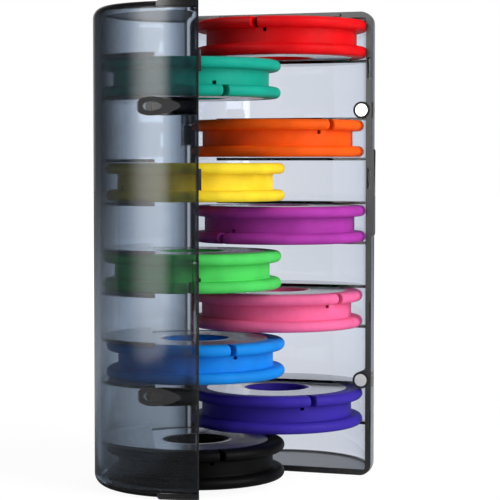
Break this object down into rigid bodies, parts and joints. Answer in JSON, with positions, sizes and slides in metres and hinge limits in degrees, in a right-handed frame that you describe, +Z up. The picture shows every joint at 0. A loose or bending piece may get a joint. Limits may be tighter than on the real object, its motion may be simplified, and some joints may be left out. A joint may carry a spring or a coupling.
{
  "type": "bobbin box",
  "caption": "Smoked clamshell tube that stands on end, hinged along one side and shut by magnets, with shelves that cradle soft grooved thread spools.",
  "frame": {"origin": "on the base half's cylinder axis, at the flat end that the case stands on", "axes": "+Z up the case, +X from the hinge to the base's free edge, +Y from the mouth into the base half"},
  "size_m": [0.102, 0.1139, 0.186],
  "materials": {
    "smoked_plastic": "satin",
    "magnet_plating": "satin",
    "hinge_steel": "satin",
    "label_film": "gloss",
    "black_silicone": "matte",
    "navy_silicone": "matte",
    "blue_silicone": "matte",
    "pink_silicone": "matte",
    "green_silicone": "matte",
    "purple_silicone": "matte",
    "yellow_silicone": "matte",
    "orange_silicone": "matte",
    "teal_silicone": "matte",
    "red_silicone": "matte"
  },
  "bodies": {
    "base": {"base_shell": "smoked_plastic", "base_shelves": "smoked_plastic", "base_magnets": "magnet_plating", "hinge_pin_lower": "hinge_steel", "hinge_pin_upper": "hinge_steel"},
    "cover": {"cover_shell": "smoked_plastic", "cover_shelves": "smoked_plastic", "cover_magnets": "magnet_plating"},
    "black_winder": {"black_spool": "black_silicone", "black_spool_labels": "label_film"},
    "navy_winder": {"navy_spool": "navy_silicone", "navy_spool_labels": "label_film"},
    "blue_winder": {"blue_spool": "blue_silicone", "blue_spool_labels": "label_film"},
    "pink_winder": {"pink_spool": "pink_silicone", "pink_spool_labels": "label_film"},
    "green_winder": {"green_spool": "green_silicone", "green_spool_labels": "label_film"},
    "purple_winder": {"purple_spool": "purple_silicone", "purple_spool_labels": "label_film"},
    "yellow_winder": {"yellow_spool": "yellow_silicone", "yellow_spool_labels": "label_film"},
    "orange_winder": {"orange_spool": "orange_silicone", "orange_spool_labels": "label_film"},
    "teal_winder": {"teal_spool": "teal_silicone", "teal_spool_labels": "label_film"},
    "red_winder": {"red_spool": "red_silicone", "red_spool_labels": "label_film"}
  },
  "joints": [
    {"name": "cover_hinge", "type": "hinge", "parent": "base", "child": "cover", "pos_m": [-0.04, 0, 0.09301], "axis": [0, 0, -1], "range_deg": [-65.8, 114.2]},
    {"name": "black_lift_out", "type": "slide", "parent": "cover", "child": "black_winder", "axis": [0.9121, 0.4099, 0], "range_m": [0, 0.034]},
    {"name": "navy_lift_out", "type": "slide", "parent": "base", "child": "navy_winder", "axis": [0, -1, 0], "range_m": [0, 0.034]},
    {"name": "blue_lift_out", "type": "slide", "parent": "cover", "child": "blue_winder", "axis": [0.9121, 0.4099, 0], "range_m": [0, 0.034]},
    {"name": "pink_lift_out", "type": "slide", "parent": "base", "child": "pink_winder", "axis": [0, -1, 0], "range_m": [0, 0.034]},
    {"name": "green_lift_out", "type": "slide", "parent": "cover", "child": "green_winder", "axis": [0.9121, 0.4099, 0], "range_m": [0, 0.034]},
    {"name": "purple_lift_out", "type": "slide", "parent": "base", "child": "purple_winder", "axis": [0, -1, 0], "range_m": [0, 0.034]},
    {"name": "yellow_lift_out", "type": "slide", "parent": "cover", "child": "yellow_winder", "axis": [0.9121, 0.4099, 0], "range_m": [0, 0.034]},
    {"name": "orange_lift_out", "type": "slide", "parent": "base", "child": "orange_winder", "axis": [0, -1, 0], "range_m": [0, 0.034]},
    {"name": "teal_lift_out", "type": "slide", "parent": "cover", "child": "teal_winder", "axis": [0.9121, 0.4099, 0], "range_m": [0, 0.034]},
    {"name": "red_lift_out", "type": "slide", "parent": "base", "child": "red_winder", "axis": [0, -1, 0], "range_m": [0, 0.034]}
  ]
}
